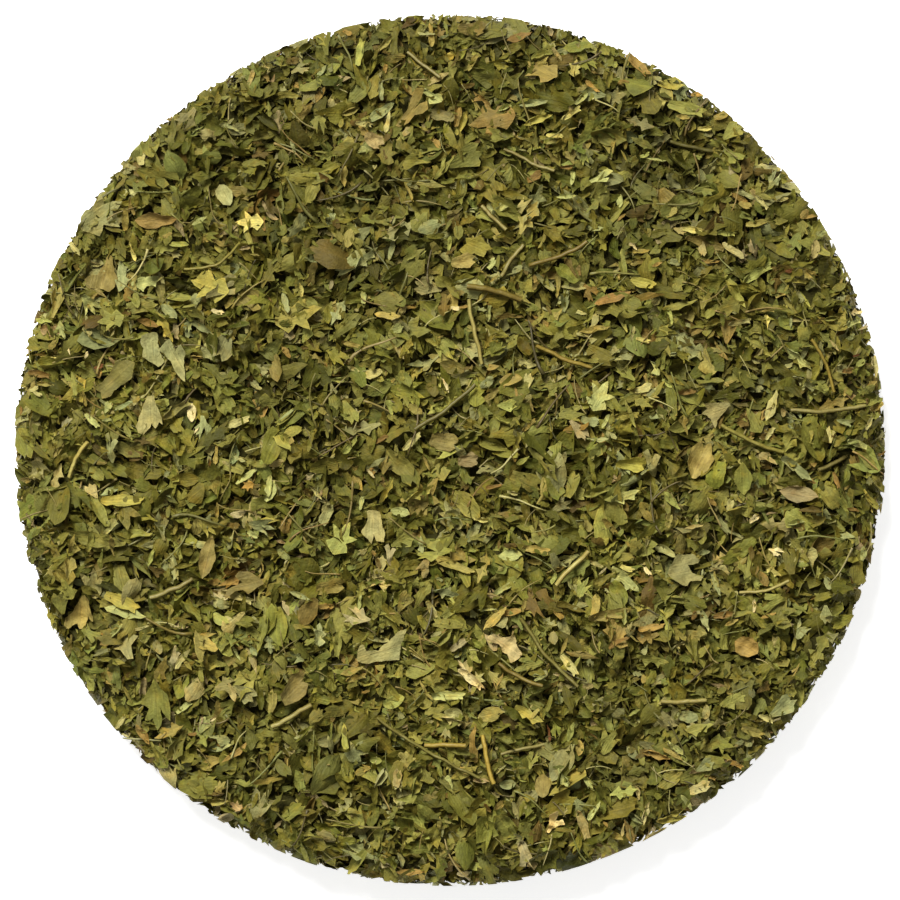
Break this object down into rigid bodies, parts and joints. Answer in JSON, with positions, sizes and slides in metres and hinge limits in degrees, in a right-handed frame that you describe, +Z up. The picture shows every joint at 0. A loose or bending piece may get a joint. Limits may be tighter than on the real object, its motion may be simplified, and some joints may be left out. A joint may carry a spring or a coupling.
{
  "type": "dried chervil heap",
  "caption": "Round, flat-topped heap of dried, rubbed chervil: small curled leaf flakes with larger leaf pieces and bits of stem lying loose on top.",
  "frame": {"origin": "middle of the heap, on the surface that it lies on", "axes": "+Z up; the reference picture looks straight down -Z, with +X to its right and +Y to its top"},
  "size_m": [0.1398, 0.1398, 0.0151],
  "materials": {
    "leaf": "matt, dull olive green with veins and dark crevices",
    "pale": "matt, pale grey-green leaf underside",
    "olive": "matt, grey olive",
    "tan": "matt, tan, wrinkled",
    "brown": "matt, brown",
    "yellow": "matt, golden yellow",
    "cream": "matt, cream with a pink cast",
    "green": "matt, fresher green",
    "straw": "satin, ribbed straw",
    "gold": "satin, ribbed golden brown"
  },
  "bodies": {
    "root": {"leaf_bed": "leaf", "pale_leaf_oblong": "pale", "pale_leaf_forked": "pale", "pale_leaf_three_lobed": "pale", "olive_leaf_long": "olive", "tan_leaf_three_pointed": "tan", "brown_leaf_boat": "brown", "cream_leaf_oval": "pale", "yellow_leaf_lobed": "yellow", "cream_leaf_scrap_back": "cream", "golden_leaf_pointed": "yellow", "grey_leaf_scrap": "tan", "cream_leaf_claw": "cream", "tan_leaf_crumpled": "tan", "cream_leaf_scrap_middle": "cream", "tan_leaf_folded": "tan", "cream_leaf_curled": "cream", "green_leaf_lance": "green", "pale_leaf_maple": "pale", "pale_leaf_fan": "pale", "golden_leaf_torn": "yellow", "tan_leaf_claw": "tan", "green_leaf_lobed": "green", "pale_leaf_broad": "pale", "cream_leaf_torn": "cream", "cream_leaf_forked": "cream", "tan_leaf_oval": "tan", "brown_leaf_curled": "brown", "tan_leaf_boat": "tan", "tan_leaf_forked": "tan", "tan_leaf_torn": "tan", "stem_back_pale": "straw", "stem_back_grey": "straw", "stem_back_short": "straw", "stem_golden_bow": "gold", "stem_golden_thick": "gold", "stem_straw_upright": "straw", "stem_pale_upright": "straw", "stem_olive_long": "green", "stem_brown": "gold", "stem_bright": "straw", "stem_left_cream": "straw", "stem_left_yellow": "straw", "stem_right_orange": "gold", "stem_right_long": "straw", "stem_right_pale": "straw", "stem_right_green": "green", "stem_right_thin": "straw", "stem_left_thick": "straw", "stem_front_flat": "gold", "stem_front_upright": "gold", "stem_front_straw": "straw", "stem_front_long": "green", "stem_front_green": "green", "stem_front_brown": "gold", "stem_yellow_flat": "straw", "stem_left_tendril": "green", "stem_right_back": "green"}
  },
  "joints": []
}
